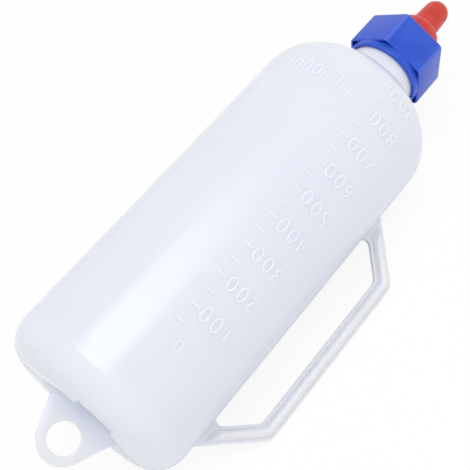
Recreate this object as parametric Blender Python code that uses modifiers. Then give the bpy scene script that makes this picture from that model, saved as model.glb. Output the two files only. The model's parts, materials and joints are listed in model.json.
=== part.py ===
# Lamb feeding bottle: a blow-moulded bottle with a loop handle and a hanging
# tab, a hexagonal screw cap and a rubber teat. Each part is drawn with the
# bottle's axis upright and z = 0 on the feet of the base, towards +X for the
# handle. The empty that carries them lays the bottle down on its side.

import bpy
import bmesh
from math import acos, asin, atan2, ceil, cos, hypot, pi, radians, sin, tan
from mathutils import Vector

# Turned body
BODY_RADIUS = 0.0450
WALL = 0.0015
BASE_CORNER = 0.0155
BASE_CORNER_HEIGHT = 0.0151
BASE_INSIDE_CORNER = 0.0125
BASE_THICKNESS = 0.0052
PUSH_UP_RADIUS = 0.0200
PUSH_UP_EDGE_HEIGHT = 0.0027
PUSH_UP_HEIGHT = 0.0034
SHOULDER_START = 0.1832
SHOULDER_REACH = 0.0346
SHOULDER_RISE = 0.0279
SHOULDER_END = radians(74.7)
NECK_RADIUS = 0.0182
NECK_INSIDE = 0.0163
NECK_STEP = 0.2238
FINISH_RADIUS = 0.0169
FINISH_BORE = 0.0150
RIM_HEIGHT = 0.2399
RIM_CHAMFER = 0.0005
BODY_STEPS = 72

# Grooves that split the base into four feet
SEAM_GROOVE_WIDTH = 0.0090
SEAM_GROOVE_DEPTH = 0.0026
TAB_GROOVE_WIDTH = 0.0252
TAB_GROOVE_DEPTH = 0.0023

# Hanging tab
TAB_OFFSET = 0.0015
TAB_THICKNESS = 0.0030
TAB_ROOT_WIDTH = 0.0350
TAB_ROOT_DEPTH = 0.0040
TAB_END_RADIUS = 0.0116
TAB_HOLE_RADIUS = 0.0072
TAB_HOLE_DROP = 0.0117
TAB_EDGE = 0.0005

# Handle: an oval bar along a flat web, which stands out on both sides of it as a fin.
# HANDLE_REACH, HANDLE_LOW and HANDLE_HIGH place the corners of their middle line.
HANDLE_REACH = 0.0662
HANDLE_LOW = 0.0465
HANDLE_HIGH = 0.1358
HANDLE_LEG_ANGLE = radians(44.3)
HANDLE_BEND = 0.0055
BAR_HALF_WIDTH = 0.0026
BAR_HALF_DEPTH = 0.0045
BAR_TIP = 0.0477
BAR_RAMP = radians(45)
WEB_HALF_WIDTH = 0.0038
WEB_THICKNESS = 0.0028
WEB_EDGE = 0.0004
WEB_ROOT = 0.0400
GAP_SIDE = 0.0445
GAP_CORNER = 0.0032

# Cap: a hexagonal shell round a threaded skirt
CAP_BOTTOM = 0.2212
HEX_BOTTOM = 0.2249
CAP_TOP = 0.2452
CAP_PLATE = 0.0022
HEX_APOTHEM = 0.0203
HEX_WALL = 0.0010
HEX_TURN = radians(5)
HEX_EDGE = 0.0007
POCKET_CEILING = 0.2400
SKIRT_RADIUS = 0.0198
CAP_BORE = 0.0185
CAP_MOUTH = 0.0191
MOUTH_CHAMFER = 0.0012
TEAT_HOLE = 0.0128

# Teat: a flange that seals on the rim, a bell, a collar and a nipple
GAP = 0.0003
FLANGE_RADIUS = 0.0170
FLANGE_THICKNESS = 0.0025
BELL_RADIUS = 0.0124
BELL_HEIGHT = 0.2520
BELL_TURN = radians(78)
COLLAR_RADIUS = 0.0089
COLLAR_HEIGHT = 0.2584
COLLAR_EDGE = 0.0003
NIPPLE_RADIUS = 0.0074
NIPPLE_TIP_RADIUS = 0.0067
NIPPLE_START = 0.2604
TEAT_TIP = 0.2790
TEAT_WALL = 0.0020
MILK_HOLE_RADIUS = 0.0010
TEAT_STEPS = 40

# Finishes, as colour and roughness
MILKY_PLASTIC = ((0.80, 0.84, 0.90), 0.38)
BLUE_PLASTIC = ((0.05, 0.11, 0.62), 0.42)
RED_RUBBER = ((0.74, 0.08, 0.06), 0.45)

# Facets and cuts
FINE_STEP = radians(6.5)
PLAIN_STEP = radians(11.5)
COARSE_STEP = radians(16)
CREASE = radians(35)
CUT_PAST = 0.0050
MERGE = 0.00001
ROLL_ROUNDS = 8


def clear_scene():
    for thing in list(bpy.data.objects):
        bpy.data.objects.remove(thing, do_unlink=True)


def new_collection(name):
    collection = bpy.data.collections.new(name)
    bpy.context.scene.collection.children.link(collection)
    return collection


def set_finish(thing, name, finish):
    colour, roughness = finish
    material = bpy.data.materials.new(name)
    material.use_nodes = True
    shader = material.node_tree.nodes["Principled BSDF"]
    shader.inputs["Base Color"].default_value = (*colour, 1.0)
    shader.inputs["Roughness"].default_value = roughness
    shader.inputs["Metallic"].default_value = 0.0
    thing.data.materials.append(material)


def shade(mesh):
    # Round faces smooth, corners crisp
    mesh.shade_smooth()
    mesh.set_sharp_from_angle(angle=CREASE)


def arc(centre, reach, start, end, step):
    # Points along an ellipse about centre, at most one step apart; reach is its two half axes
    points = []
    count = ceil(abs(end - start) / step)
    for i in range(count + 1):
        angle = start + (end - start) * i / count
        points.append((centre[0] + reach[0] * cos(angle), centre[1] + reach[1] * sin(angle)))
    return points


def rounded(corners):
    # A line through (x, y, radius) corners, each rounded by its radius, or sharp at 0
    points = []
    for i, (x, y, radius) in enumerate(corners):
        if radius == 0.0:
            points.append((x, y))
            continue
        corner = Vector((x, y))
        before = (Vector(corners[i - 1][:2]) - corner).normalized()
        after = (Vector(corners[(i + 1) % len(corners)][:2]) - corner).normalized()
        half = before.angle(after) / 2
        centre = corner + (before + after).normalized() * radius / sin(half)
        first = corner + before * radius / tan(half) - centre
        last = corner + after * radius / tan(half) - centre
        start = atan2(first.y, first.x)
        turn = (atan2(last.y, last.x) - start + pi) % (2 * pi) - pi
        points += arc(centre, (radius, radius), start, start + turn, PLAIN_STEP)
    return points


def add_object(name, data, collection, parent):
    thing = bpy.data.objects.new(name, data)
    collection.objects.link(thing)
    thing.parent = parent
    return thing


def turned(name, profile, steps, closed, collection, parent):
    # A profile of (radius, height) points turned about the bottle's axis
    mesh = bpy.data.meshes.new(name)
    edges = [(i, i + 1) for i in range(len(profile) - 1)]
    if closed:
        edges.append((len(profile) - 1, 0))
    mesh.from_pydata([(radius, 0.0, height) for radius, height in profile], edges, [])
    thing = add_object(name, mesh, collection, parent)
    screw = thing.modifiers.new("turn", "SCREW")
    screw.axis = "Z"
    screw.steps = steps
    screw.render_steps = steps
    screw.use_smooth_shade = True
    screw.use_merge_vertices = True
    screw.merge_threshold = MERGE
    return thing


def prism(name, sides, radius, bottom, top, turn, collection, parent):
    # An upright prism on the bottle's axis with its corners at the given radius
    mesh = bpy.data.meshes.new(name)
    shape = bmesh.new()
    bmesh.ops.create_cone(shape, cap_ends=True, segments=sides, radius1=radius,
                          radius2=radius, depth=top - bottom)
    shape.to_mesh(mesh)
    shape.free()
    shade(mesh)
    thing = add_object(name, mesh, collection, parent)
    thing.location = (0.0, 0.0, (bottom + top) / 2)
    # create_cone puts its first corner on +Y
    thing.rotation_euler = (0.0, 0.0, turn - pi / 2)
    return thing


def block(name, size, centre, collection, parent):
    mesh = bpy.data.meshes.new(name)
    shape = bmesh.new()
    bmesh.ops.create_cube(shape, size=1.0)
    bmesh.ops.scale(shape, vec=size, verts=shape.verts)
    shape.to_mesh(mesh)
    shape.free()
    thing = add_object(name, mesh, collection, parent)
    thing.location = centre
    return thing


def outline(name, loops, collection, parent):
    # A 2D curve whose drawing plane is the bottle's XZ plane
    curve = bpy.data.curves.new(name, "CURVE")
    curve.dimensions = "2D"
    for points, closed in loops:
        spline = curve.splines.new("POLY")
        spline.points.add(len(points) - 1)
        for point, (x, y) in zip(spline.points, points):
            point.co = (x, y, 0.0, 1.0)
        spline.use_cyclic_u = closed
    thing = add_object(name, curve, collection, parent)
    thing.rotation_euler = (pi / 2, 0.0, 0.0)
    return thing


def as_mesh(curve_object, collection, parent):
    # The curve's evaluated shape as a mesh object in the same place
    bpy.context.view_layer.update()
    name = curve_object.name
    graph = bpy.context.evaluated_depsgraph_get()
    mesh = bpy.data.meshes.new_from_object(curve_object.evaluated_get(graph))
    shape = bmesh.new()
    shape.from_mesh(mesh)
    bmesh.ops.remove_doubles(shape, verts=shape.verts, dist=MERGE)
    bmesh.ops.recalc_face_normals(shape, faces=shape.faces)
    shape.to_mesh(mesh)
    shape.free()
    shade(mesh)
    place = curve_object.matrix_world.copy()
    bpy.data.objects.remove(curve_object, do_unlink=True)
    thing = add_object(name, mesh, collection, parent)
    thing.matrix_world = place
    return thing


def plate(name, loops, thickness, edge, collection, parent):
    # A flat plate in the XZ plane with rounded edges; the second loop is its hole
    curve = outline(name, [(loop, True) for loop in loops], collection, parent)
    curve.data.fill_mode = "BOTH"
    curve.data.extrude = thickness / 2 - edge
    curve.data.bevel_depth = edge
    curve.data.bevel_resolution = 1
    curve.data.offset = -edge
    return as_mesh(curve, collection, parent)


def boolean(target, operation, tool):
    step = target.modifiers.new(f"{operation.lower()} {tool.name}", "BOOLEAN")
    step.operation = operation
    step.solver = "EXACT"
    step.object = tool
    tool.hide_render = True
    tool.display_type = "WIRE"


def shoulder(shrink, neck, step):
    # From the neck down round its fillet and over the elliptical shoulder
    reach = (SHOULDER_REACH - shrink, SHOULDER_RISE - shrink)
    centre = (BODY_RADIUS - SHOULDER_REACH, SHOULDER_START)
    end = Vector((centre[0] + reach[0] * cos(SHOULDER_END), centre[1] + reach[1] * sin(SHOULDER_END)))
    normal = Vector((reach[1] * cos(SHOULDER_END), reach[0] * sin(SHOULDER_END))).normalized()
    fillet = (end.x - neck) / (1.0 - normal.x)
    middle = end + normal * fillet
    meeting = atan2(-normal.y, -normal.x) + 2 * pi
    points = arc(middle, (fillet, fillet), pi, meeting, COARSE_STEP)
    points += arc(centre, reach, SHOULDER_END, 0.0, step)[1:]
    return points


def body_outside():
    # The feet cut the rounded corner off level, which leaves the base its lip
    corner = (BODY_RADIUS - BASE_CORNER, BASE_CORNER_HEIGHT)
    lip = -asin(BASE_CORNER_HEIGHT / BASE_CORNER)
    points = [(0.0, RIM_HEIGHT), (FINISH_RADIUS - RIM_CHAMFER, RIM_HEIGHT)]
    points.append((FINISH_RADIUS, RIM_HEIGHT - RIM_CHAMFER))
    points.append((FINISH_RADIUS, NECK_STEP + NECK_RADIUS - FINISH_RADIUS))
    points.append((NECK_RADIUS, NECK_STEP))
    points += shoulder(0.0, NECK_RADIUS, FINE_STEP)
    points += arc(corner, (BASE_CORNER, BASE_CORNER), 0.0, lip, PLAIN_STEP)
    points.append((PUSH_UP_RADIUS + PUSH_UP_HEIGHT, 0.0))
    points.append((PUSH_UP_RADIUS, PUSH_UP_EDGE_HEIGHT))
    points.append((0.0, PUSH_UP_HEIGHT))
    return points


def body_inside():
    bend = (BASE_INSIDE_CORNER, BASE_INSIDE_CORNER)
    corner = (BODY_RADIUS - WALL - BASE_INSIDE_CORNER, BASE_THICKNESS + BASE_INSIDE_CORNER)
    points = [(0.0, RIM_HEIGHT + CUT_PAST), (FINISH_BORE, RIM_HEIGHT + CUT_PAST)]
    points.append((FINISH_BORE, NECK_STEP))
    points.append((NECK_INSIDE, NECK_STEP + FINISH_BORE - NECK_INSIDE))
    points += shoulder(WALL, NECK_INSIDE, PLAIN_STEP)
    points += arc(corner, bend, 0.0, -pi / 2, COARSE_STEP)
    points.append((0.0, BASE_THICKNESS))
    return points


def bar_section():
    return arc((0.0, 0.0), (BAR_HALF_WIDTH, BAR_HALF_DEPTH), 0.0, 2 * pi, COARSE_STEP)[:-1]


def roll_angle():
    # The bottle lies on a facet of its body and on the flank of the handle's bar. Which
    # point of the bar is lowest depends on the angle, so it is found in a few rounds.
    height = BODY_RADIUS * cos(pi / BODY_STEPS)
    roll = 0.0
    for _ in range(ROLL_ROUNDS):
        flank = max(x * sin(roll) + y * cos(roll) for x, y in bar_section())
        roll = asin((height - flank) / HANDLE_REACH)
    return roll


def handle_line(offset, root, root_bend):
    # The handle's corners, from root to root, offset outwards from the bar's middle line
    reach = HANDLE_REACH + offset
    shift = offset * tan((pi / 2 - HANDLE_LEG_ANGLE) / 2)
    low = HANDLE_LOW - shift
    high = HANDLE_HIGH + shift
    rise = (reach - root) * tan(HANDLE_LEG_ANGLE)
    return [(root, low - rise, root_bend), (reach, low, HANDLE_BEND),
            (reach, high, HANDLE_BEND), (root, high + rise, root_bend)]


def make_web(cutters, parent):
    edge = rounded(handle_line(WEB_HALF_WIDTH, WEB_ROOT, 0.0))
    gap = rounded(handle_line(-WEB_HALF_WIDTH, GAP_SIDE, GAP_CORNER))
    return plate("handle_web", [edge, gap], WEB_THICKNESS, WEB_EDGE, cutters, parent)


def make_bar(cutters, parent):
    # An oval swept along the handle, with ends that slope down to the web beside the body
    section = outline("bar_section", [(bar_section(), True)], cutters, parent)
    line = rounded(handle_line(0.0, WEB_ROOT, 0.0))
    path = outline("handle_bar", [(line, False)], cutters, parent)
    path.data.bevel_mode = "OBJECT"
    path.data.bevel_object = section
    path.data.use_fill_caps = True
    bar = as_mesh(path, cutters, parent)
    bpy.data.objects.remove(section, do_unlink=True)
    size = 4 * BAR_HALF_DEPTH
    middle = (HANDLE_LOW + HANDLE_HIGH) / 2
    for side in (-1, 1):
        # The ramp's face starts on the web's face at BAR_TIP
        centre = (BAR_TIP - sin(BAR_RAMP) * size / 2,
                  side * (WEB_THICKNESS / 2 + cos(BAR_RAMP) * size / 2), middle)
        ramp = block("bar_ramp", (size, size, SHOULDER_START), centre, cutters, parent)
        ramp.rotation_euler = (0.0, 0.0, side * BAR_RAMP)
        boolean(bar, "DIFFERENCE", ramp)
    return bar


def make_tab(cutters, parent):
    # A round end about the hole, with straight sides out to the root
    half = TAB_ROOT_WIDTH / 2
    reach = hypot(half, TAB_HOLE_DROP)
    turn = atan2(TAB_HOLE_DROP, half) - acos(TAB_END_RADIUS / reach)
    centre = (TAB_OFFSET, -TAB_HOLE_DROP)
    end = (TAB_END_RADIUS, TAB_END_RADIUS)
    edge = [(TAB_OFFSET - half, TAB_ROOT_DEPTH), (TAB_OFFSET - half, 0.0)]
    edge += arc(centre, end, pi - turn, 2 * pi + turn, PLAIN_STEP)
    edge += [(TAB_OFFSET + half, 0.0), (TAB_OFFSET + half, TAB_ROOT_DEPTH)]
    hole = arc(centre, (TAB_HOLE_RADIUS, TAB_HOLE_RADIUS), 0.0, 2 * pi, PLAIN_STEP)[:-1]
    return plate("tab", [edge, hole], TAB_THICKNESS, TAB_EDGE, cutters, parent)


def make_bottle(parts, cutters, parent):
    bottle = turned("bottle", body_outside(), BODY_STEPS, False, parts, parent)
    cavity = turned("cavity", body_inside(), BODY_STEPS, False, cutters, parent)
    # One facet of the round body lies flat on the floor
    for thing in (bottle, cavity):
        thing.rotation_euler = (0.0, 0.0, pi / 2 - roll_angle() - pi / BODY_STEPS)
    across = 2 * (BODY_RADIUS + CUT_PAST)
    seam_groove = block("seam_groove", (across, SEAM_GROOVE_WIDTH, 2 * SEAM_GROOVE_DEPTH),
                        (0.0, 0.0, 0.0), cutters, parent)
    tab_groove = block("tab_groove", (TAB_GROOVE_WIDTH, across, 2 * TAB_GROOVE_DEPTH),
                       (TAB_OFFSET, 0.0, 0.0), cutters, parent)
    boolean(bottle, "DIFFERENCE", seam_groove)
    boolean(bottle, "DIFFERENCE", tab_groove)
    boolean(bottle, "UNION", make_tab(cutters, parent))
    boolean(bottle, "UNION", make_web(cutters, parent))
    boolean(bottle, "UNION", make_bar(cutters, parent))
    boolean(bottle, "DIFFERENCE", cavity)
    set_finish(bottle, "polyethylene", MILKY_PLASTIC)
    return bottle


def make_cap(parts, cutters, parent):
    corner = 1.0 / cos(pi / 6)
    cap = prism("cap", 6, HEX_APOTHEM * corner, HEX_BOTTOM, CAP_TOP, HEX_TURN, parts, parent)
    edges = cap.modifiers.new("rounded edges", "BEVEL")
    edges.width = HEX_EDGE
    edges.segments = 2
    pocket = prism("pocket", 6, (HEX_APOTHEM - HEX_WALL) * corner, CAP_BOTTOM, POCKET_CEILING,
                   HEX_TURN, cutters, parent)
    skirt = prism("skirt", BODY_STEPS, SKIRT_RADIUS, CAP_BOTTOM, CAP_TOP - CAP_PLATE / 2,
                  0.0, cutters, parent)
    plate_under = CAP_TOP - CAP_PLATE
    over = CAP_TOP + CUT_PAST
    under = CAP_BOTTOM - CUT_PAST
    profile = [(0.0, over), (TEAT_HOLE, over), (TEAT_HOLE, plate_under)]
    profile += [(CAP_BORE, plate_under), (CAP_BORE, CAP_BOTTOM + MOUTH_CHAMFER)]
    profile += [(CAP_MOUTH, CAP_BOTTOM), (CAP_MOUTH, under), (0.0, under)]
    bore = turned("bore", profile, BODY_STEPS, False, cutters, parent)
    boolean(cap, "DIFFERENCE", pocket)
    boolean(cap, "UNION", skirt)
    boolean(cap, "DIFFERENCE", bore)
    set_finish(cap, "cap_plastic", BLUE_PLASTIC)
    return cap


def make_teat(parts, parent):
    low = RIM_HEIGHT + GAP
    flange_top = low + FLANGE_THICKNESS
    tip = NIPPLE_TIP_RADIUS
    inner_tip = tip - TEAT_WALL
    tip_centre = (0.0, TEAT_TIP - tip)
    # The milk hole leaves both tips open
    outer_start = pi / 2 - asin(MILK_HOLE_RADIUS / tip)
    inner_end = pi / 2 - asin(MILK_HOLE_RADIUS / inner_tip)
    collar = (COLLAR_RADIUS - COLLAR_EDGE, COLLAR_HEIGHT + COLLAR_EDGE)
    fillet = (NIPPLE_RADIUS - collar[0], collar[1] - NIPPLE_START)
    bell = (BELL_RADIUS - COLLAR_RADIUS, COLLAR_HEIGHT - BELL_HEIGHT)
    outer = arc(tip_centre, (tip, tip), outer_start, 0.0, PLAIN_STEP)
    outer += arc((collar[0], NIPPLE_START), fillet, 0.0, pi / 2, COARSE_STEP)
    outer.append((COLLAR_RADIUS, COLLAR_HEIGHT))
    outer += arc((COLLAR_RADIUS, BELL_HEIGHT), bell, BELL_TURN, 0.0, COARSE_STEP)
    outer += [(BELL_RADIUS, flange_top), (FLANGE_RADIUS, flange_top), (FLANGE_RADIUS, low)]
    inner = [(BELL_RADIUS - TEAT_WALL, low)]
    inner += arc((COLLAR_RADIUS - TEAT_WALL, BELL_HEIGHT - TEAT_WALL), bell, 0.0, BELL_TURN, COARSE_STEP)
    inner.append((NIPPLE_RADIUS - TEAT_WALL, NIPPLE_START))
    inner += arc(tip_centre, (inner_tip, inner_tip), 0.0, inner_end, COARSE_STEP)
    teat = turned("teat", outer + inner, TEAT_STEPS, True, parts, parent)
    set_finish(teat, "teat_rubber", RED_RUBBER)
    return teat


def set_down(frame, parts):
    # Moves the whole bottle until its box stands centred on the origin
    bpy.context.view_layer.update()
    graph = bpy.context.evaluated_depsgraph_get()
    corners = []
    for thing in parts:
        solid = thing.evaluated_get(graph)
        mesh = solid.to_mesh()
        corners += [solid.matrix_world @ vertex.co for vertex in mesh.vertices]
        solid.to_mesh_clear()
    low = [min(corner[axis] for corner in corners) for axis in range(3)]
    high = [max(corner[axis] for corner in corners) for axis in range(3)]
    frame.location -= Vector(((low[0] + high[0]) / 2, (low[1] + high[1]) / 2, low[2]))


def main():
    clear_scene()
    parts = new_collection("lamb_feeding_bottle")
    cutters = new_collection("cutters")
    frame = bpy.data.objects.new("bottle_axis", None)
    parts.objects.link(frame)
    bottle = make_bottle(parts, cutters, frame)
    cap = make_cap(parts, cutters, frame)
    teat = make_teat(parts, frame)
    frame.rotation_mode = "ZYX"
    frame.rotation_euler = (0.0, pi / 2, roll_angle() - pi / 2)
    set_down(frame, [bottle, cap, teat])


main()
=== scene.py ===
# Lamb feeding bottle, lying on its side: a milky blow-moulded bottle with a loop handle and a
# hanging tab, a blue hexagonal cap and a red rubber teat. Each piece is shaped about the
# bottle's axis, upright on its feet with the handle towards +X, and then laid down.
import json
import bmesh
import bpy
from math import acos, asin, atan2, cos, hypot, pi, radians, sin, sqrt, tan
from mathutils import Matrix, Vector


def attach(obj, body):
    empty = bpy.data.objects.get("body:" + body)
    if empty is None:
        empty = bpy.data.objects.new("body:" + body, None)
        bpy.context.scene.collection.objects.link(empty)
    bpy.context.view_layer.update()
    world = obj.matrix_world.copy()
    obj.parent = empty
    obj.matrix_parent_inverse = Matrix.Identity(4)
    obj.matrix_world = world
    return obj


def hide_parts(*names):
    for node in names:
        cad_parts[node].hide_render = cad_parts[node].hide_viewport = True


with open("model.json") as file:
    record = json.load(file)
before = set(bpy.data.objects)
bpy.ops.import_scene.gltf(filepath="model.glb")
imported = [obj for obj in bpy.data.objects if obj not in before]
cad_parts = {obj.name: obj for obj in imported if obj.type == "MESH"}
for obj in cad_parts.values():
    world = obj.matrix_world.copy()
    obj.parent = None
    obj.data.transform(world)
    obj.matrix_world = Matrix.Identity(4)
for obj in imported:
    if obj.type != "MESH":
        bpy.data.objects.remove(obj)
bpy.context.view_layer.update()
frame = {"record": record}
scene = bpy.context.scene
scene.view_settings.view_transform = "Standard"
print("frame loaded")


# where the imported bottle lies

record = frame["record"]
capTurn = next(joint for joint in record["behaviour"]["joints"] if joint["name"] == "cap_turn")
tabFace = next(mount for mount in record["mounts"] if mount["name"] == "tab_face")
capTurnHeight = 0.2350  # of the cap's joint above the feet, along the axis
roll = atan2(-tabFace["axis"][1], tabFace["axis"][2])
onAxis = capTurn["pos_m"]
layDown = Matrix((
    (0, 0, 1, onAxis[0] - capTurnHeight),
    (-cos(roll), sin(roll), 0, onAxis[1]),
    (-sin(roll), -cos(roll), 0, onAxis[2]),
    (0, 0, 0, 1)))


# shared shaping tools

mergeWithin = 1e-6   # points closer than this are one
cutterReach = 0.005  # how far a cutter runs past what it cuts


def newObject(name, data):
    thing = bpy.data.objects.new(name, data)
    scene.collection.objects.link(thing)
    return thing


def arcPoints(centre, reach, start, end, count):
    # along a circle or an ellipse, whose two radii are the reach
    points = []
    for i in range(count + 1):
        angle = start + (end - start) * i / count
        points.append((centre[0] + reach[0] * cos(angle), centre[1] + reach[1] * sin(angle)))
    return points


def roundedLine(corners, count):
    # (x, y, radius) corners, each rounded, or sharp at radius 0
    points = []
    for i, (x, y, radius) in enumerate(corners):
        if radius == 0:
            points.append((x, y))
            continue
        corner = Vector((x, y))
        before = (Vector(corners[i - 1][:2]) - corner).normalized()
        after = (Vector(corners[(i + 1) % len(corners)][:2]) - corner).normalized()
        half = before.angle(after) / 2
        centre = corner + (before + after).normalized() * radius / sin(half)
        first = corner + before * radius / tan(half) - centre
        last = corner + after * radius / tan(half) - centre
        start = atan2(first.y, first.x)
        turn = (atan2(last.y, last.x) - start + pi) % (2 * pi) - pi
        points += arcPoints(centre, (radius, radius), start, start + turn, count)
    return points


def meshFrom(bm, name):
    # the cleaned bmesh as a new mesh; the bmesh is freed
    bmesh.ops.remove_doubles(bm, verts=bm.verts, dist=mergeWithin)
    bmesh.ops.dissolve_degenerate(bm, edges=bm.edges, dist=mergeWithin / 10)
    bmesh.ops.recalc_face_normals(bm, faces=bm.faces)
    mesh = bpy.data.meshes.new(name)
    bm.to_mesh(mesh)
    bm.free()
    return mesh


def spunMesh(name, profile, steps, closed=False):
    # a chain of (radius, height) points turned about the axis
    bm = bmesh.new()
    verts = [bm.verts.new((radius, 0, height)) for radius, height in profile]
    edges = [bm.edges.new(pair) for pair in zip(verts, verts[1:])]
    if closed:
        edges.append(bm.edges.new((verts[-1], verts[0])))
    bmesh.ops.spin(bm, geom=verts + edges, cent=(0, 0, 0), axis=(0, 0, 1), dvec=(0, 0, 0),
                   angle=2 * pi, steps=steps, use_merge=True, use_duplicate=False)
    return meshFrom(bm, name)


def hexagonMesh(name, apothem, bottom, top, turn):
    radius = apothem / cos(pi / 6)
    bm = bmesh.new()
    bmesh.ops.create_cone(bm, cap_ends=True, segments=6, radius1=radius, radius2=radius,
                          depth=top - bottom)
    bmesh.ops.rotate(bm, verts=bm.verts, cent=(0, 0, 0), matrix=Matrix.Rotation(turn - pi / 2, 3, "Z"))
    bmesh.ops.translate(bm, verts=bm.verts, vec=(0, 0, (bottom + top) / 2))
    return meshFrom(bm, name)


def blockMesh(name, size, centre, turn=0.0, taper=(1, 1, 1)):
    # a box; the taper scales its upper end
    bm = bmesh.new()
    bmesh.ops.create_cube(bm, size=1)
    bmesh.ops.scale(bm, verts=bm.verts, vec=size)
    bmesh.ops.scale(bm, verts=[vert for vert in bm.verts if vert.co.z > 0], vec=taper)
    bmesh.ops.rotate(bm, verts=bm.verts, cent=(0, 0, 0), matrix=Matrix.Rotation(turn, 3, "Z"))
    bmesh.ops.translate(bm, verts=bm.verts, vec=centre)
    return meshFrom(bm, name)


def bakedMesh(thing, name):
    # the object's evaluated shape with its place applied; the object goes
    bpy.context.view_layer.update()
    graph = bpy.context.evaluated_depsgraph_get()
    mesh = bpy.data.meshes.new_from_object(thing.evaluated_get(graph))
    mesh.transform(thing.matrix_world)
    mesh.name = name
    bpy.data.objects.remove(thing, do_unlink=True)
    return mesh


def combinedMesh(name, baseMesh, steps):
    # steps are (operation, tool mesh) pairs
    base = newObject(baseMesh.name, baseMesh)
    tools = []
    for operation, toolMesh in steps:
        tool = newObject(toolMesh.name, toolMesh)
        tools.append(tool)
        change = base.modifiers.new(operation.lower(), "BOOLEAN")
        change.operation = operation
        change.solver = "EXACT"
        change.object = tool
    mesh = bakedMesh(base, name)
    for tool in tools:
        bpy.data.objects.remove(tool, do_unlink=True)
    bm = bmesh.new()
    bm.from_mesh(mesh)
    bmesh.ops.remove_doubles(bm, verts=bm.verts, dist=mergeWithin)
    bm.to_mesh(mesh)
    bm.free()
    return mesh


def flatCurve(name, loops):
    # a 2D curve drawn in the XZ plane; loops are (points, closed) pairs
    curve = bpy.data.curves.new(name, "CURVE")
    curve.dimensions = "2D"
    for points, closed in loops:
        spline = curve.splines.new("POLY")
        spline.points.add(len(points) - 1)
        for point, (x, y) in zip(spline.points, points):
            point.co = (x, y, 0, 1)
        spline.use_cyclic_u = closed
    thing = newObject(name, curve)
    thing.rotation_euler = (pi / 2, 0, 0)
    return thing


def closedMesh(mesh):
    # a curve's caps and sides come loose, and are joined here
    bm = bmesh.new()
    bm.from_mesh(mesh)
    bmesh.ops.remove_doubles(bm, verts=bm.verts, dist=mergeWithin)
    bmesh.ops.recalc_face_normals(bm, faces=bm.faces)
    bm.to_mesh(mesh)
    bm.free()
    return mesh


def plateMesh(name, loops, thickness, edge):
    # a flat plate with rounded rims; a second loop is a hole in it
    plate = flatCurve(name, [(loop, True) for loop in loops])
    plate.data.fill_mode = "BOTH"
    plate.data.extrude = thickness / 2 - edge
    plate.data.bevel_depth = edge
    plate.data.bevel_resolution = 3
    plate.data.offset = -edge
    return closedMesh(bakedMesh(plate, name))


def finishedPiece(name, mesh, body, material, crease=radians(30)):
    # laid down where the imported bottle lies, smooth up to the crease's angle
    mesh.transform(layDown)
    mesh.shade_smooth()
    mesh.set_sharp_from_angle(angle=crease)
    mesh.materials.clear()
    mesh.materials.append(material)
    piece = newObject(name, mesh)
    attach(piece, body)
    print(name, len(mesh.polygons), "faces")
    return piece


# materials

def newMaterial(name):
    material = bpy.data.materials.new(name)
    material.use_nodes = True
    return material, material.node_tree, material.node_tree.nodes["Principled BSDF"]


def markLightAndTone(mesh, amount, onFaces=True):
    # how far each face or point takes the skin's edge colour, 0 to 1, which paints highlights on the cap and
    # teat, shade on the neck and a greyer tone on the handle and tab
    lightAndToneMark = mesh.attributes.new("paintedLightAndTone", "FLOAT", "FACE" if onFaces else "POINT")
    for item in mesh.polygons if onFaces else mesh.vertices:
        lightAndToneMark.data[item.index].value = amount(item)


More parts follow.
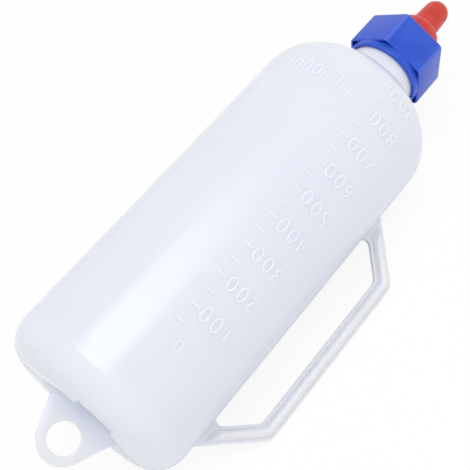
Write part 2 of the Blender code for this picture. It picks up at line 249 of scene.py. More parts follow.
def mouldedSkin():
    # the skin of moulded plastic and rubber: soft clouds of tone, a fine grain, and an edge colour that
    # paints highlights, shade and greyer parts where the mesh marks them
    group = bpy.data.node_groups.new("moulded skin", "ShaderNodeTree")
    for direction, kind, socketNames in (
            ("INPUT", "NodeSocketColor", ("Colour", "Cloud Colour", "Edge Colour")),
            ("INPUT", "NodeSocketFloat", ("Cloud Size", "Cloud Amount", "Edge Amount", "Roughness",
                                          "Roughness Spread", "Grain Size")),
            ("OUTPUT", "NodeSocketColor", ("Colour",)),
            ("OUTPUT", "NodeSocketFloat", ("Roughness", "Grain"))):
        for socketName in socketNames:
            group.interface.new_socket(socketName, in_out=direction, socket_type=kind)
    nodes, links = group.nodes, group.links
    given = nodes.new("NodeGroupInput")
    result = nodes.new("NodeGroupOutput")
    coords = nodes.new("ShaderNodeTexCoord")
    clouds = nodes.new("ShaderNodeTexNoise")
    clouds.inputs["Detail"].default_value = 3
    links.new(coords.outputs["Object"], clouds.inputs["Vector"])
    links.new(given.outputs["Cloud Size"], clouds.inputs["Scale"])
    amount = nodes.new("ShaderNodeMath")
    amount.operation = "MULTIPLY"
    links.new(clouds.outputs["Fac"], amount.inputs[0])
    links.new(given.outputs["Cloud Amount"], amount.inputs[1])
    tone = nodes.new("ShaderNodeMix")
    tone.data_type = "RGBA"
    links.new(amount.outputs[0], tone.inputs["Factor"])
    links.new(given.outputs["Colour"], tone.inputs["A"])
    links.new(given.outputs["Cloud Colour"], tone.inputs["B"])
    # the marked share of the edge colour: painted highlights, painted shade and a greyer tone
    lightAndToneMark = nodes.new("ShaderNodeAttribute")
    lightAndToneMark.attribute_name = "paintedLightAndTone"
    lightAndToneShare = nodes.new("ShaderNodeMath")
    lightAndToneShare.operation = "MULTIPLY"
    links.new(lightAndToneMark.outputs["Fac"], lightAndToneShare.inputs[0])
    links.new(given.outputs["Edge Amount"], lightAndToneShare.inputs[1])
    edged = nodes.new("ShaderNodeMix")
    edged.data_type = "RGBA"
    links.new(lightAndToneShare.outputs[0], edged.inputs["Factor"])
    links.new(tone.outputs["Result"], edged.inputs["A"])
    links.new(given.outputs["Edge Colour"], edged.inputs["B"])
    links.new(edged.outputs["Result"], result.inputs["Colour"])
    grain = nodes.new("ShaderNodeTexNoise")
    grain.inputs["Detail"].default_value = 2
    links.new(coords.outputs["Object"], grain.inputs["Vector"])
    links.new(given.outputs["Grain Size"], grain.inputs["Scale"])
    links.new(grain.outputs["Fac"], result.inputs["Grain"])
    spread = nodes.new("ShaderNodeMath")
    spread.operation = "MULTIPLY_ADD"
    links.new(clouds.outputs["Fac"], spread.inputs[0])
    links.new(given.outputs["Roughness Spread"], spread.inputs[1])
    links.new(given.outputs["Roughness"], spread.inputs[2])
    links.new(spread.outputs[0], result.inputs["Roughness"])
    return group


# its Edge Colour greys the handle and the tab, and paints shade on the neck under the cap
milkyLook = {
    "skin": {"Colour": (0.79, 0.845, 0.99, 1), "Cloud Colour": (0.92, 0.93, 0.995, 1), "Cloud Size": 18.0,
             "Cloud Amount": 0.8, "Edge Colour": (0.82, 0.825, 0.865, 1), "Edge Amount": 1.0,
             "Roughness": 0.17, "Roughness Spread": 0.10, "Grain Size": 1400.0},
    "grain": {"Strength": 0.12, "Distance": 0.0002},
    "shader": {"Subsurface Weight": 0.5, "Subsurface Radius": (1.0, 0.94, 0.75), "Subsurface Scale": 0.003,
               "IOR": 1.50, "Transmission Weight": 0.04},
}
# paler than the wall: the strokes' thicker plastic, and a painted highlight for the light their raised edges
# catch
markLook = {
    "skin": {"Colour": (0.855, 0.89, 0.99, 1), "Cloud Colour": (0.89, 0.915, 0.99, 1), "Cloud Size": 40.0,
             "Cloud Amount": 0.8, "Roughness": 0.16, "Roughness Spread": 0.10, "Grain Size": 1400.0},
    "grain": {"Strength": 0.10, "Distance": 0.0002},
    "shader": {"IOR": 1.50},
}
# its Edge Colour paints highlights along the cap's outer edges
blueLook = {
    "skin": {"Colour": (0.009, 0.060, 0.52, 1), "Cloud Colour": (0.040, 0.120, 0.68, 1), "Cloud Size": 90.0,
             "Cloud Amount": 0.9, "Edge Colour": (0.13, 0.22, 0.80, 1), "Edge Amount": 0.55,
             "Roughness": 0.22, "Roughness Spread": 0.14, "Grain Size": 1800.0},
    "grain": {"Strength": 0.20, "Distance": 0.0002},
    "shader": {"IOR": 1.40},
}
# its Edge Colour paints a highlight on the teat's collar rim
redLook = {
    "skin": {"Colour": (0.50, 0.018, 0.010, 1), "Cloud Colour": (0.74, 0.070, 0.045, 1), "Cloud Size": 150.0,
             "Cloud Amount": 1.0, "Edge Colour": (0.90, 0.40, 0.33, 1), "Edge Amount": 0.85,
             "Roughness": 0.30, "Roughness Spread": 0.16, "Grain Size": 2600.0},
    "grain": {"Strength": 0.30, "Distance": 0.0002},
    "shader": {"Subsurface Weight": 0.08, "Subsurface Radius": (1.0, 0.25, 0.15), "Subsurface Scale": 0.0015,
               "IOR": 1.42},
}


def mouldedMaterial(name, skin, look):
    # the moulded skin with the look's own values, on a Principled BSDF
    material, tree, shader = newMaterial(name)
    surface = tree.nodes.new("ShaderNodeGroup")
    surface.node_tree = skin
    bump = tree.nodes.new("ShaderNodeBump")
    for node, part in ((surface, "skin"), (bump, "grain"), (shader, "shader")):
        for socketName, value in look[part].items():
            node.inputs[socketName].default_value = value
    tree.links.new(surface.outputs["Grain"], bump.inputs["Height"])
    tree.links.new(surface.outputs["Colour"], shader.inputs["Base Color"])
    tree.links.new(surface.outputs["Roughness"], shader.inputs["Roughness"])
    tree.links.new(bump.outputs["Normal"], shader.inputs["Normal"])
    return material


skin = mouldedSkin()
milky = mouldedMaterial("milkyPolyethylene", skin, milkyLook)
paleMarks = mouldedMaterial("raisedPolyethylene", skin, markLook)
blue = mouldedMaterial("bluePolypropylene", skin, blueLook)
red = mouldedMaterial("redRubber", skin, redLook)
print("materials ready")


# bottle: body, tab and handle in one moulding

bottleShape = {
    "radius": 0.04496, "wall": 0.0015, "steps": 192,
    "baseCorner": 0.0155, "baseCornerHeight": 0.0151, "baseInsideCorner": 0.0125, "baseThickness": 0.0052,
    "pushUpRadius": 0.0200, "pushUpEdge": 0.0027, "pushUpHeight": 0.0034,
    "shoulderStart": 0.1832, "shoulderReach": 0.0346, "shoulderRise": 0.0279,
    "shoulderEnd": radians(74.7), "shoulderSteps": 28,
    "neckRadius": 0.0182, "neckInside": 0.0163, "neckStep": 0.2238,
    "finishRadius": 0.0169, "finishBore": 0.0150, "rimHeight": 0.2399, "rimEdge": 0.0005,
    "seamGroove": {"width": 0.0090, "depth": 0.0024, "narrowing": 0.35},
    "tabGroove": {"middle": 0.0049, "width": 0.0216, "depth": 0.0015, "narrowing": 0.80},
}
tabShape = {
    "offset": 0.0015, "thickness": 0.0030, "rootWidth": 0.0350, "rootDepth": 0.0040,
    "endRadius": 0.0116, "holeRadius": 0.0072, "holeDrop": 0.0117, "edge": 0.0006,
}
handleShape = {
    "reach": 0.0662, "low": 0.0465, "high": 0.1358, "legAngle": radians(44.3), "bend": 0.0055,
    "barHalfWidth": 0.0026, "barHalfDepth": 0.0045, "barTip": 0.0477, "barRamp": radians(45),
    "rampLength": 0.19, "webHalfWidth": 0.0038, "webThickness": 0.0028, "webEdge": 0.0005,
    "webRoot": 0.0400, "gapSide": 0.0445, "gapCorner": 0.0032,
}


def shoulderPoints(shrink, neck, count):
    # from the neck out along a fillet, then down the shoulder's ellipse to the body
    b = bottleShape
    reach = (b["shoulderReach"] - shrink, b["shoulderRise"] - shrink)
    centre = (b["radius"] - b["shoulderReach"], b["shoulderStart"])
    angle = b["shoulderEnd"]
    end = Vector((centre[0] + reach[0] * cos(angle), centre[1] + reach[1] * sin(angle)))
    normal = Vector((reach[1] * cos(angle), reach[0] * sin(angle))).normalized()
    fillet = (end.x - neck) / (1 - normal.x)
    middle = end + normal * fillet
    meeting = atan2(-normal.y, -normal.x) + 2 * pi
    points = arcPoints(middle, (fillet, fillet), pi, meeting, count=8)
    points += arcPoints(centre, reach, angle, 0, count)[1:]
    return points


def bodyOutside():
    # from the middle of the rim down the outside to the middle of the base
    b = bottleShape
    corner = (b["radius"] - b["baseCorner"], b["baseCornerHeight"])
    lip = -asin(b["baseCornerHeight"] / b["baseCorner"])
    points = [(0, b["rimHeight"]), (b["finishRadius"] - b["rimEdge"], b["rimHeight"]),
              (b["finishRadius"], b["rimHeight"] - b["rimEdge"]),
              (b["finishRadius"], b["neckStep"] + b["neckRadius"] - b["finishRadius"]),
              (b["neckRadius"], b["neckStep"])]
    points += shoulderPoints(0, b["neckRadius"], b["shoulderSteps"])
    points += arcPoints(corner, (b["baseCorner"], b["baseCorner"]), 0, lip, count=18)
    points += [(b["pushUpRadius"] + b["pushUpHeight"], 0), (b["pushUpRadius"], b["pushUpEdge"]),
               (0, b["pushUpHeight"])]
    return points


def bodyInside():
    # the cutter for the cavity, which opens at the rim
    b = bottleShape
    bend = (b["baseInsideCorner"], b["baseInsideCorner"])
    corner = (b["radius"] - b["wall"] - b["baseInsideCorner"], b["baseThickness"] + b["baseInsideCorner"])
    above = b["rimHeight"] + cutterReach
    points = [(0, above), (b["finishBore"], above), (b["finishBore"], b["neckStep"]),
              (b["neckInside"], b["neckStep"] + b["finishBore"] - b["neckInside"])]
    points += shoulderPoints(b["wall"], b["neckInside"], count=20)
    points += arcPoints(corner, bend, 0, -pi / 2, count=12)
    points.append((0, b["baseThickness"]))
    return points


def tabMesh():
    # its sides run straight from the root and touch the round end
    t = tabShape
    half = t["rootWidth"] / 2
    turn = atan2(t["holeDrop"], half) - acos(t["endRadius"] / hypot(half, t["holeDrop"]))
    centre = (t["offset"], -t["holeDrop"])
    rim = [(t["offset"] - half, t["rootDepth"]), (t["offset"] - half, 0)]
    rim += arcPoints(centre, (t["endRadius"], t["endRadius"]), pi - turn, 2 * pi + turn, count=40)
    rim += [(t["offset"] + half, 0), (t["offset"] + half, t["rootDepth"])]
    hole = arcPoints(centre, (t["holeRadius"], t["holeRadius"]), 0, 2 * pi, count=64)[:-1]
    return plateMesh("tab", [rim, hole], t["thickness"], t["edge"])


def handleLine(offset, root, rootBend):
    # the loop's line, moved outwards by the offset: out along a leg, up, and back along the other
    h = handleShape
    reach = h["reach"] + offset
    shift = offset * tan((pi / 2 - h["legAngle"]) / 2)
    low = h["low"] - shift
    high = h["high"] + shift
    rise = (reach - root) * tan(h["legAngle"])
    return [(root, low - rise, rootBend), (reach, low, h["bend"]), (reach, high, h["bend"]),
            (root, high + rise, rootBend)]


def webMesh():
    h = handleShape
    rim = roundedLine(handleLine(h["webHalfWidth"], h["webRoot"], 0), count=10)
    gap = roundedLine(handleLine(-h["webHalfWidth"], h["gapSide"], h["gapCorner"]), count=12)
    return plateMesh("handleWeb", [rim, gap], h["webThickness"], h["webEdge"])


def barMesh():
    # an oval bar along the line; its ends slope down to the web beside the body
    h = handleShape
    oval = arcPoints((0, 0), (h["barHalfWidth"], h["barHalfDepth"]), 0, 2 * pi, count=41)[:-1]
    section = flatCurve("barSection", [(oval, True)])
    line = roundedLine(handleLine(0, h["webRoot"], 0), count=10)
    path = flatCurve("handleBar", [(line, False)])
    path.data.bevel_mode = "OBJECT"
    path.data.bevel_object = section
    path.data.use_fill_caps = True
    bar = closedMesh(bakedMesh(path, "handleBar"))
    bpy.data.objects.remove(section, do_unlink=True)
    size = 4 * h["barHalfDepth"]
    ramps = []
    for side in (-1, 1):
        centre = (h["barTip"] - sin(h["barRamp"]) * size / 2,
                  side * (h["webThickness"] / 2 + cos(h["barRamp"]) * size / 2),
                  (h["low"] + h["high"]) / 2)
        ramp = blockMesh("ramp", (size, size, h["rampLength"]), centre, turn=side * h["barRamp"])
        ramps.append(("DIFFERENCE", ramp))
    return combinedMesh("handleBar", bar, ramps)


# where the greying starts on the handle and the tab, and the painted shade on the neck under the cap
greyedShape = {"wallFade": 0.003, "footFade": 0.008, "neckStart": 0.2125, "neckFade": 0.008}


def greyedPartsAndNeckShade(vertex):
    # greyer on the handle and the tab, from where they leave the body, and painted shade on the neck under
    # the cap
    g = greyedShape
    beyondWall = (hypot(vertex.co.x, vertex.co.y) - bottleShape["radius"]) / g["wallFade"]
    belowFoot = -vertex.co.z / g["footFade"]
    upNeck = (vertex.co.z - g["neckStart"]) / g["neckFade"]
    return max(0.0, min(1.0, max(beyondWall, belowFoot, upNeck)))


def makeBottle():
    b = bottleShape
    across = 2 * (b["radius"] + cutterReach)
    seam, tab = b["seamGroove"], b["tabGroove"]
    seamGroove = blockMesh("seamGroove", (across, seam["width"], 2 * seam["depth"]), (0, 0, 0),
                           taper=(1, seam["narrowing"], 1))
    tabGroove = blockMesh("tabGroove", (tab["width"], across, 2 * tab["depth"]), (tab["middle"], 0, 0),
                          taper=(tab["narrowing"], 1, 1))
    steps = [
        ("DIFFERENCE", seamGroove), ("DIFFERENCE", tabGroove),
        ("UNION", tabMesh()), ("UNION", webMesh()), ("UNION", barMesh()),
        ("DIFFERENCE", spunMesh("cavity", bodyInside(), b["steps"]))]
    mesh = combinedMesh("bottleShell", spunMesh("body", bodyOutside(), b["steps"]), steps)
    markLightAndTone(mesh, greyedPartsAndNeckShade, onFaces=False)
    piece = finishedPiece("bottleShell", mesh, "bottle", milky)
    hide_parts("bottle")


makeBottle()


# the mould's parting line, a fine ridge up both sides of the body

seamShape = {
    "proud": 0.00016, "sunk": 0.0005, "width": 0.0007, "edge": 0.00015, "belowStep": 0.0006,
    "foot": radians(-68),
}


def bodySide(offset):
    # the body's outline from the neck down to its foot, moved outwards by the offset
    b = bottleShape
    corner = (b["radius"] - b["baseCorner"], b["baseCornerHeight"])
    bend = b["baseCorner"] + offset
    points = [(b["neckRadius"] + offset, b["neckStep"] - seamShape["belowStep"])]
    points += shoulderPoints(-offset, b["neckRadius"] + offset, b["shoulderSteps"])
    points += arcPoints(corner, (bend, bend), 0, seamShape["foot"], count=14)
    return points


def makeSeam():
    s = seamShape
    outline = bodySide(s["proud"]) + bodySide(-s["sunk"])[::-1]
    bm = bmesh.new()
    for side in (1, -1):
        ridge = plateMesh("ridge", [outline], s["width"], s["edge"])
        ridge.transform(Matrix.Scale(side, 4, (1, 0, 0)))
        bm.from_mesh(ridge)
        bpy.data.meshes.remove(ridge)
    finishedPiece("seamRidge", meshFrom(bm, "seamRidge"), "bottle", milky)


makeSeam()


# moulded scale: a mark every 50 ml, with the hundreds written upside down

scaleShape = {
    "emptyHeight": 0.0400, "spacing": 0.00837, "ticks": 18, "proud": 0.00022, "sunk": 0.00034,
    "soft": 0.00027, "tickStart": 0.0026, "tickEnd": 0.0076, "stroke": 0.0010,
    "digitHeight": 0.0076, "fontFill": 0.73, "thinning": 0.9, "zeroShare": 0.8,
    "lastDigit": 0.0113, "digitStep": 0.0064,
    "fullMark": (-0.0398, -0.0350, -0.0295, -0.0240, -0.0180, -0.0120), "fullHeight": 0.1766,
    "fullLetter": 0.0073, "lowLetterShare": 0.84, "fullTickStart": -0.0070, "fullTickEnd": -0.0020,
    "fullTickHeight": 0.1743,
}


def onWall(along, height, lift):
    # along is arc length from the front towards the handle; the shoulder is an ellipse
    b = bottleShape
    if height <= b["shoulderStart"]:
        radius, outward = b["radius"], (1.0, 0.0)
    else:
        rise = (height - b["shoulderStart"]) / b["shoulderRise"]
        level = sqrt(1 - rise * rise)
        radius = b["radius"] - b["shoulderReach"] + b["shoulderReach"] * level
        slope = Vector((b["shoulderRise"] * level, b["shoulderReach"] * rise)).normalized()
        outward = (slope.x, slope.y)
    angle = along / b["radius"] - pi / 2
    reach = radius + lift * outward[0]
    return Vector((reach * cos(angle), reach * sin(angle), height + lift * outward[1]))


def wrapOnWall(mesh, along, height, flip):
    # x runs round the wall, y up it and z out of it
    for vertex in mesh.vertices:
        x, y, z = vertex.co
        vertex.co = onWall(along + flip * x, height + flip * y, z)


def markMesh(character, size):
    # one raised character, with its middle at the origin and its foot sunk below it
    s = scaleShape
    letter = bpy.data.curves.new("mark", "FONT")
    letter.body = character
    letter.size = size / s["fontFill"]
    letter.align_x = "CENTER"
    letter.extrude = (s["proud"] + s["sunk"]) / 2 - s["soft"]
    letter.bevel_depth = s["soft"]
    letter.bevel_resolution = 2
    letter.offset = -s["soft"] * s["thinning"]
    letter.resolution_u = 6
    mesh = closedMesh(bakedMesh(newObject("mark", letter), "mark"))
    across = [vertex.co.x for vertex in mesh.vertices]
    upwards = [vertex.co.y for vertex in mesh.vertices]
    middle = Vector(((min(across) + max(across)) / 2, (min(upwards) + max(upwards)) / 2, 0))
    lift = Vector((0, 0, (s["proud"] - s["sunk"]) / 2))
    mesh.transform(Matrix.Translation(lift - middle))
    return mesh


def tickMesh(length):
    s = scaleShape
    bm = bmesh.new()
    bmesh.ops.create_cube(bm, size=1)
    bmesh.ops.scale(bm, verts=bm.verts, vec=(length, s["stroke"], s["proud"] + s["sunk"]))
    bmesh.ops.translate(bm, verts=bm.verts, vec=(0, 0, (s["proud"] - s["sunk"]) / 2))
    bmesh.ops.bevel(bm, geom=bm.edges[:], affect="EDGES", offset=s["soft"], segments=3,
                    profile=0.5, material=-1)
    # cut along its length, so that it can bend round the wall
    bmesh.ops.subdivide_edges(bm, edges=[edge for edge in bm.edges if edge.calc_length() > length / 2],
                              cuts=4, use_grid_fill=True)
    return meshFrom(bm, "tick")


def makeScale():
    s = scaleShape
    meshes = []

    def put(mesh, along, height, flip=1):
        wrapOnWall(mesh, along, height, flip)
        meshes.append(mesh)

    middle = (s["tickStart"] + s["tickEnd"]) / 2
    for step in range(1, s["ticks"] + 1):
        put(tickMesh(s["tickEnd"] - s["tickStart"]), middle, s["emptyHeight"] + step * s["spacing"])
    put(tickMesh(s["fullTickEnd"] - s["fullTickStart"]), (s["fullTickStart"] + s["fullTickEnd"]) / 2,
        s["fullTickHeight"])
    for hundreds in range(1, s["ticks"] // 2 + 1):
        height = s["emptyHeight"] + 2 * hundreds * s["spacing"]
        for place, digit in enumerate(reversed(f"{hundreds}00")):
            put(markMesh(digit, s["digitHeight"]), s["lastDigit"] + place * s["digitStep"], height, flip=-1)
    put(markMesh("0", s["digitHeight"] * s["zeroShare"]), s["lastDigit"], s["emptyHeight"], flip=-1)
    for character, along in zip("1000m", s["fullMark"]):
        # a low letter stands on the same line as the high ones
        share = s["lowLetterShare"] if character == "m" else 1
        height = s["fullHeight"] - s["fullLetter"] * (1 - share) / 2
        put(markMesh(character, s["fullLetter"] * share), along, height)
    # the full mark's last letter is a plain upright stroke
    upright = tickMesh(s["fullLetter"])
    upright.transform(Matrix.Rotation(pi / 2, 4, "Z"))
    put(upright, s["fullMark"][-1], s["fullHeight"])
    bm = bmesh.new()
    for mesh in meshes:
        bm.from_mesh(mesh)
        bpy.data.meshes.remove(mesh)
    bmesh.ops.recalc_face_normals(bm, faces=bm.faces)
    joined = bpy.data.meshes.new("scaleMarks")
    bm.to_mesh(joined)
    bm.free()
    finishedPiece("scaleMarks", joined, "bottle", paleMarks, crease=radians(120))


makeScale()


# threads on the neck and in the cap, right-handed

threadShape = {
    "pitch": 0.0045, "turns": 1.5, "stepsPerTurn": 64, "start": 0.2285,
    "neckRoot": 0.0167, "neckCrest": 0.0181, "capRoot": 0.0187, "capCrest": 0.0173,
    "rootHalf": 0.0012, "crestHalf": 0.0006,
}


def threadMesh(name, root, crest, bottom):
    # a tapered section turned and raised along the helix, closed at both ends
    t = threadShape
    steps = int(t["stepsPerTurn"] * t["turns"])
    corners = [(root, -t["rootHalf"]), (crest, -t["crestHalf"]),
               (crest, t["crestHalf"]), (root, t["rootHalf"])]
    bm = bmesh.new()
    verts = [bm.verts.new((radius, 0, bottom + height)) for radius, height in corners]
    edges = [bm.edges.new(pair) for pair in zip(verts, verts[1:] + verts[:1])]
    bmesh.ops.spin(bm, geom=verts + edges, cent=(0, 0, 0), axis=(0, 0, 1),
                   dvec=(0, 0, t["pitch"] * t["turns"] / steps), angle=2 * pi * t["turns"], steps=steps,
                   use_merge=False, use_duplicate=False)
    bmesh.ops.holes_fill(bm, edges=[edge for edge in bm.edges if edge.is_boundary], sides=4)
    return meshFrom(bm, name)


def makeThreads():
    # the cap's thread runs half a pitch below the neck's
    t = threadShape
    neck = threadMesh("neckThread", t["neckRoot"], t["neckCrest"], t["start"])
    finishedPiece("neckThread", neck, "bottle", milky)
    cap = threadMesh("capThread", t["capRoot"], t["capCrest"], t["start"] - t["pitch"] / 2)
    finishedPiece("capThread", cap, "cap", blue)


makeThreads()


# cap: a hexagonal shell round a threaded skirt

capShape = {
    "bottom": 0.2212, "hexBottom": 0.2249, "top": 0.2452, "plate": 0.0022, "apothem": 0.0203,
    "wall": 0.0010, "turn": radians(5), "sideEdge": 0.0016, "topEdge": 0.0008, "lowEdge": 0.0003,
    "pocketCeiling": 0.2400, "skirtRadius": 0.0202, "skirtEdge": 0.0010,
    "bore": 0.0185, "mouth": 0.0189, "mouthEdge": 0.0006, "teatHole": 0.0128, "holeEdge": 0.0003,
    "steps": 144,
}
capHighlightShape = {"crownSlope": 0.7, "crownSpread": 0.5, "skirtMargin": 0.0004, "sideSlope": 0.3}


def paintedCapHighlight(polygon):
    # painted highlights along the hexagon's outer edges, strongest in the middle of each rounding
    c, highlight = capShape, capHighlightShape
    middle, normal = polygon.center, polygon.normal
    fromAxis = hypot(middle.x, middle.y)
    if normal.x * middle.x + normal.y * middle.y <= 0:
        return 0.0
    if middle.z > c["top"] - c["topEdge"] and fromAxis > c["apothem"] - c["topEdge"]:
        return max(0.0, 1 - abs(normal.z - highlight["crownSlope"]) / highlight["crownSpread"])
    if fromAxis < c["skirtRadius"] + highlight["skirtMargin"]:
        return 0.0
    if middle.z < c["hexBottom"] + c["lowEdge"]:
        return 1.0
    offFlat = abs((atan2(normal.y, normal.x) - c["turn"]) % (pi / 3) - pi / 6)
    return offFlat / (pi / 6) if abs(normal.z) < highlight["sideSlope"] else 0.0


def hexagonShell():
    # the solid hexagon with its upright, upper and lower edges rounded
    c = capShape
    mesh = hexagonMesh("hexagon", c["apothem"], c["hexBottom"], c["top"], c["turn"])
    middle = (c["hexBottom"] + c["top"]) / 2
    bm = bmesh.new()
    bm.from_mesh(mesh)

    def isLevel(edge):
        return abs(edge.verts[0].co.z - edge.verts[1].co.z) < c["lowEdge"]

    upright = [edge for edge in bm.edges if not isLevel(edge)]
    bmesh.ops.bevel(bm, geom=upright, affect="EDGES", offset=c["sideEdge"], segments=6,
                    profile=0.5, material=-1)
    for above, offset in ((True, c["topEdge"]), (False, c["lowEdge"])):
        rim = [edge for edge in bm.edges if isLevel(edge) and (edge.verts[0].co.z > middle) == above]
        bmesh.ops.bevel(bm, geom=rim, affect="EDGES", offset=offset, segments=3,
                        profile=0.5, material=-1)
    bm.to_mesh(mesh)
    bm.free()
    return mesh


def skirtMesh():
    c = capShape
    top = c["top"] - c["plate"] / 2
    profile = [(0, top), (c["skirtRadius"], top)]
    profile += arcPoints((c["skirtRadius"] - c["skirtEdge"], c["bottom"] + c["skirtEdge"]),
                         (c["skirtEdge"], c["skirtEdge"]), 0, -pi / 2, count=8)
    profile.append((0, c["bottom"]))
    return spunMesh("skirt", profile, c["steps"])


def boreMesh():
    # the cutter for the teat's hole, the threaded bore and its mouth
    c = capShape
    under, over = c["bottom"] - cutterReach, c["top"] + cutterReach
    plateUnder = c["top"] - c["plate"]
    profile = [(0, over), (c["teatHole"] + c["holeEdge"], over), (c["teatHole"] + c["holeEdge"], c["top"]),
               (c["teatHole"], c["top"] - c["holeEdge"]), (c["teatHole"], plateUnder),
               (c["bore"], plateUnder), (c["bore"], c["bottom"] + c["mouthEdge"]),
               (c["mouth"], c["bottom"]), (c["mouth"], under), (0, under)]
    return spunMesh("bore", profile, c["steps"])


def makeCap():
    c = capShape
    pocket = hexagonMesh("pocket", c["apothem"] - c["wall"], c["bottom"], c["pocketCeiling"], c["turn"])
    mesh = combinedMesh("capShell", hexagonShell(), [
        ("DIFFERENCE", pocket), ("UNION", skirtMesh()), ("DIFFERENCE", boreMesh())])
    markLightAndTone(mesh, paintedCapHighlight)
    piece = finishedPiece("capShell", mesh, "cap", blue)
    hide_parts("cap")


makeCap()


# teat: flange, bell, collar and nipple

teatShape = {
    "low": 0.2402, "flangeRadius": 0.0170, "flange": 0.0025, "bellRadius": 0.0124, "bellHeight": 0.2520,
    "bellTurn": radians(78), "collarRadius": 0.0089, "collarHeight": 0.2584, "collarEdge": 0.0003,
    "nippleRadius": 0.0074, "tipRadius": 0.0067, "nippleStart": 0.2604, "tip": 0.2790, "wall": 0.0020,
    "milkHole": 0.0010, "steps": 96,
}
collarHighlightShape = {"inward": 0.0011, "drop": 0.0003, "peak": 1.5, "fade": 0.0008}


def paintedCollarHighlight(polygon):
    # a painted highlight on the collar's rim
    t, highlight = teatShape, collarHighlightShape
    if hypot(polygon.center.x, polygon.center.y) < t["collarRadius"] - highlight["inward"]:
        return 0.0
    offRim = abs(polygon.center.z - t["collarHeight"] + highlight["drop"])
    return max(0.0, min(1.0, highlight["peak"] - offRim / highlight["fade"]))


def makeTeat():
    # the outline runs down the outside from the milk hole to the flange, and up the inside
    t = teatShape
    tip, innerTip = t["tipRadius"], t["tipRadius"] - t["wall"]
    tipCentre = (0, t["tip"] - tip)
    flangeTop = t["low"] + t["flange"]
    collar = (t["collarRadius"] - t["collarEdge"], t["collarHeight"] + t["collarEdge"])
    bell = (t["bellRadius"] - t["collarRadius"], t["collarHeight"] - t["bellHeight"])
    fillet = (t["nippleRadius"] - collar[0], collar[1] - t["nippleStart"])
    outer = arcPoints(tipCentre, (tip, tip), pi / 2 - asin(t["milkHole"] / tip), 0, count=16)
    outer += arcPoints((collar[0], t["nippleStart"]), fillet, 0, pi / 2, count=8)
    outer.append((t["collarRadius"], t["collarHeight"]))
    outer += arcPoints((t["collarRadius"], t["bellHeight"]), bell, t["bellTurn"], 0, count=12)
    outer += [(t["bellRadius"], flangeTop), (t["flangeRadius"], flangeTop), (t["flangeRadius"], t["low"])]
    inner = [(t["bellRadius"] - t["wall"], t["low"])]
    inner += arcPoints((t["collarRadius"] - t["wall"], t["bellHeight"] - t["wall"]), bell,
                       0, t["bellTurn"], count=12)
    inner.append((t["nippleRadius"] - t["wall"], t["nippleStart"]))
    inner += arcPoints(tipCentre, (innerTip, innerTip), 0, pi / 2 - asin(t["milkHole"] / innerTip), count=12)
    mesh = spunMesh("teatRubber", outer + inner, t["steps"], closed=True)
    markLightAndTone(mesh, paintedCollarHighlight)
    piece = finishedPiece("teatRubber", mesh, "teat", red)
    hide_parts("teat")


makeTeat()


# floor, world, lights and camera

studio = {
    "tent": (1.14, 0.48), "floorHalf": 4, "floorColour": (0.88, 0.885, 0.89, 1), "floorShade": (0.75, 0.12),
    # soft strips overhead: x, y, width, depth and share of the radiance, fading towards the teat
    "strips": ((-0.02, -0.20, 0.32, 0.72, 1.0), (0.195, -0.20, 0.11, 0.76, 0.42),
               (0.305, -0.25, 0.11, 0.64, 0.26), (0.415, -0.28, 0.11, 0.50, 0.13)),
    "stripHeight": 1.0, "stripRadiance": 3.85,
}
# in the upright bottle's own frame, before it is laid down
cameraView = {
    "position": (0.00097, -0.37113, -0.02804), "right": (0.74908, -0.22002, 0.62488),
    "up": (-0.66245, -0.25742, 0.70349), "lens": 65.534, "sensor": 36, "clipStart": 0.01,
}


def seenRay(tree):
    # 1 on rays that look at the floor or the world, 0 on those that light the object
    path = tree.nodes.new("ShaderNodeLightPath")
    first = tree.nodes.new("ShaderNodeMath")
    second = tree.nodes.new("ShaderNodeMath")
    for step in (first, second):
        step.operation = "MAXIMUM"
    tree.links.new(path.outputs["Is Camera Ray"], first.inputs[0])
    tree.links.new(path.outputs["Is Glossy Ray"], first.inputs[1])
    tree.links.new(first.outputs[0], second.inputs[0])
    tree.links.new(path.outputs["Is Transmission Ray"], second.inputs[1])
    return second.outputs[0]


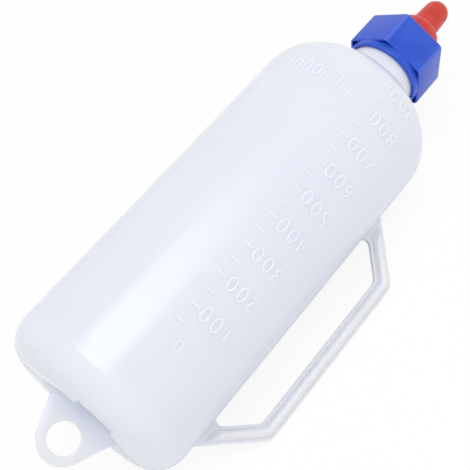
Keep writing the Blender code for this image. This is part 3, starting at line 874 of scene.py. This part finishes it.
def makeFloor():
    bm = bmesh.new()
    bmesh.ops.create_grid(bm, x_segments=1, y_segments=1, size=studio["floorHalf"])
    floor = newObject("floor", meshFrom(bm, "floor"))
    material, tree, shader = newMaterial("paleFloor")
    tree.nodes.remove(shader)
    nodes, links = tree.nodes, tree.links
    bounce = nodes.new("ShaderNodeBsdfDiffuse")
    bounce.inputs["Color"].default_value = studio["floorColour"]
    # how much of the white is lit, and so takes a shadow: in reflections, and from the camera
    path = nodes.new("ShaderNodeLightPath")
    shade = nodes.new("ShaderNodeMix")
    shade.inputs["A"].default_value, shade.inputs["B"].default_value = studio["floorShade"]
    links.new(path.outputs["Is Camera Ray"], shade.inputs["Factor"])
    rest = nodes.new("ShaderNodeMath")
    rest.operation = "SUBTRACT"
    rest.inputs[0].default_value = 1
    links.new(shade.outputs["Result"], rest.inputs[1])
    seen = nodes.new("ShaderNodeBsdfDiffuse")
    links.new(shade.outputs["Result"], seen.inputs["Color"])
    glow = nodes.new("ShaderNodeEmission")
    links.new(rest.outputs[0], glow.inputs["Strength"])
    both = nodes.new("ShaderNodeAddShader")
    mix = nodes.new("ShaderNodeMixShader")
    links.new(seen.outputs[0], both.inputs[0])
    links.new(glow.outputs[0], both.inputs[1])
    links.new(seenRay(tree), mix.inputs[0])
    links.new(bounce.outputs[0], mix.inputs[1])
    links.new(both.outputs[0], mix.inputs[2])
    links.new(mix.outputs[0], nodes["Material Output"].inputs["Surface"])
    floor.data.materials.append(material)


def makeWorld():
    world = bpy.data.worlds.new("studio")
    world.use_nodes = True
    scene.world = world
    tree = world.node_tree
    nodes, links = tree.nodes, tree.links
    background = nodes["Background"]
    background.inputs["Color"].default_value = (1, 1, 1, 1)
    # a tent that is brighter round its sides than overhead, where the strips hang
    direction = nodes.new("ShaderNodeTexCoord")
    height = nodes.new("ShaderNodeSeparateXYZ")
    tent = nodes.new("ShaderNodeMapRange")
    tent.inputs["To Min"].default_value, tent.inputs["To Max"].default_value = studio["tent"]
    strength = nodes.new("ShaderNodeMix")
    strength.inputs["B"].default_value = 1
    links.new(direction.outputs["Generated"], height.inputs[0])
    links.new(height.outputs["Z"], tent.inputs["Value"])
    links.new(tent.outputs["Result"], strength.inputs["A"])
    links.new(seenRay(tree), strength.inputs["Factor"])
    links.new(strength.outputs["Result"], background.inputs["Strength"])


def makeLights():
    for i, (x, y, width, depth, share) in enumerate(studio["strips"]):
        strip = bpy.data.lights.new(f"softStrip{i + 1}", "AREA")
        strip.shape = "RECTANGLE"
        strip.size = width
        strip.size_y = depth
        strip.energy = studio["stripRadiance"] * share * pi * width * depth
        lamp = newObject(strip.name, strip)
        lamp.location = (x, y, studio["stripHeight"])


def makeCamera():
    right = Vector(cameraView["right"]).normalized()
    back = right.cross(Vector(cameraView["up"])).normalized()
    place = Matrix((right, back.cross(right), back)).transposed().to_4x4()
    place.translation = Vector(cameraView["position"])
    lens = bpy.data.cameras.new("camera")
    lens.lens = cameraView["lens"]
    lens.sensor_width = cameraView["sensor"]
    lens.clip_start = cameraView["clipStart"]
    camera = newObject("camera", lens)
    camera.matrix_world = layDown @ place
    scene.camera = camera


makeFloor()
makeWorld()
makeLights()
makeCamera()
print("studio ready")
